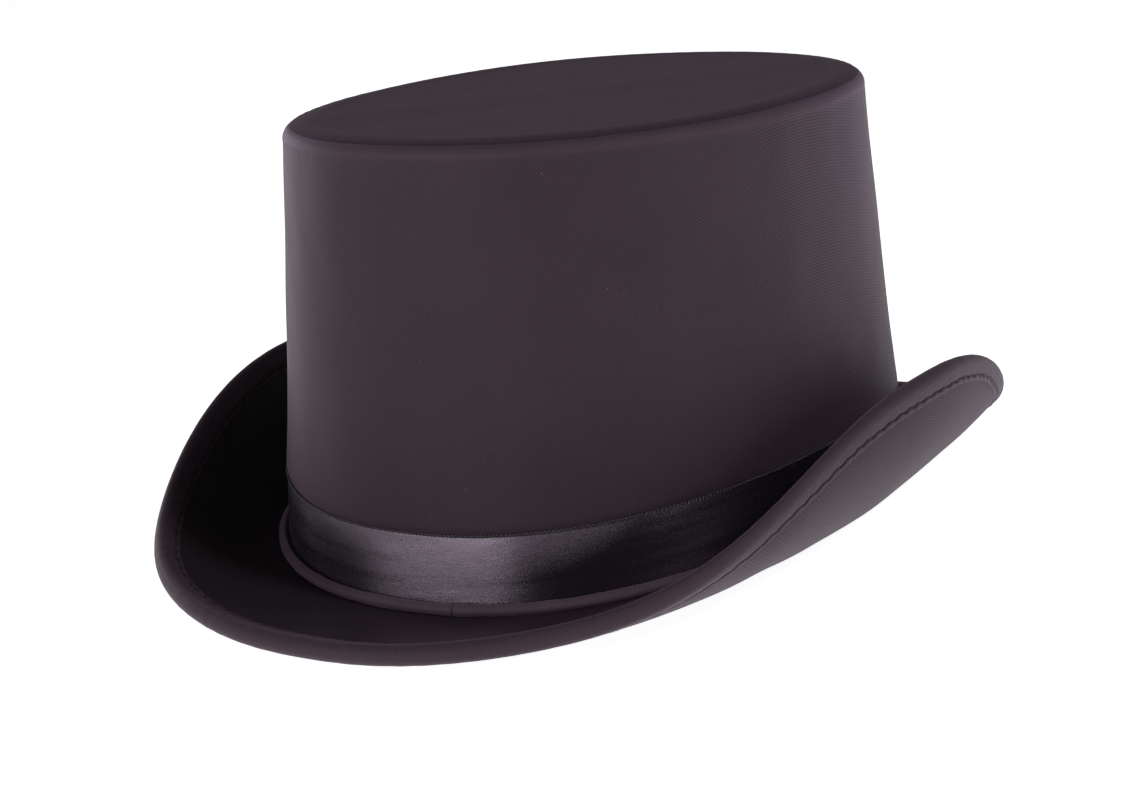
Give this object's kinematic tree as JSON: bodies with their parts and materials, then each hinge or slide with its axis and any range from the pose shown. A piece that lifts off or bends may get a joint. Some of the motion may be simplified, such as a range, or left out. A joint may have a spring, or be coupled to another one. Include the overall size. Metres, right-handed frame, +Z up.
{
  "type": "top hat",
  "caption": "Rigid top hat with a tapering oval crown, a curled bound brim, a rolled collar, a satin ribbon and a sweatband inside.",
  "frame": {"origin": "centre of the hat in plan, at the level of the surface it stands on", "axes": "+Z up along the crown, -Y towards the front of the brim, +X towards the wearer's left"},
  "size_m": [0.2134, 0.3016, 0.128],
  "materials": {
    "satin_twill": "satin",
    "satin_ribbon": "gloss",
    "lining": "satin",
    "sweatband": "matte",
    "tape": "matte",
    "thread": "matte",
    "label": "matte",
    "foam": "matte",
    "stiff_board": "matte",
    "cord": "matte",
    "wire": "satin"
  },
  "bodies": {
    "root": {"crown_side_cover": "satin_twill", "crown_side_foam": "foam", "crown_side_board": "stiff_board", "crown_seam_tape": "tape", "tip_cover": "satin_twill", "tip_foam": "foam", "tip_board": "stiff_board", "tip_wire": "wire", "lining_side": "lining", "lining_tip": "lining", "sweatband": "sweatband", "sweatband_stitches": "thread", "size_label": "label", "opening_tape": "tape", "brim_top_cover": "satin_twill", "brim_foam": "foam", "brim_board": "stiff_board", "brim_under_cover": "satin_twill", "brim_edge_wire": "wire", "brim_binding": "satin_twill", "binding_stitches": "thread", "base_welt": "satin_twill", "base_welt_cord": "cord", "ribbon_band": "satin_ribbon", "ribbon_lap": "satin_ribbon", "ribbon_tacks": "thread"}
  },
  "joints": []
}
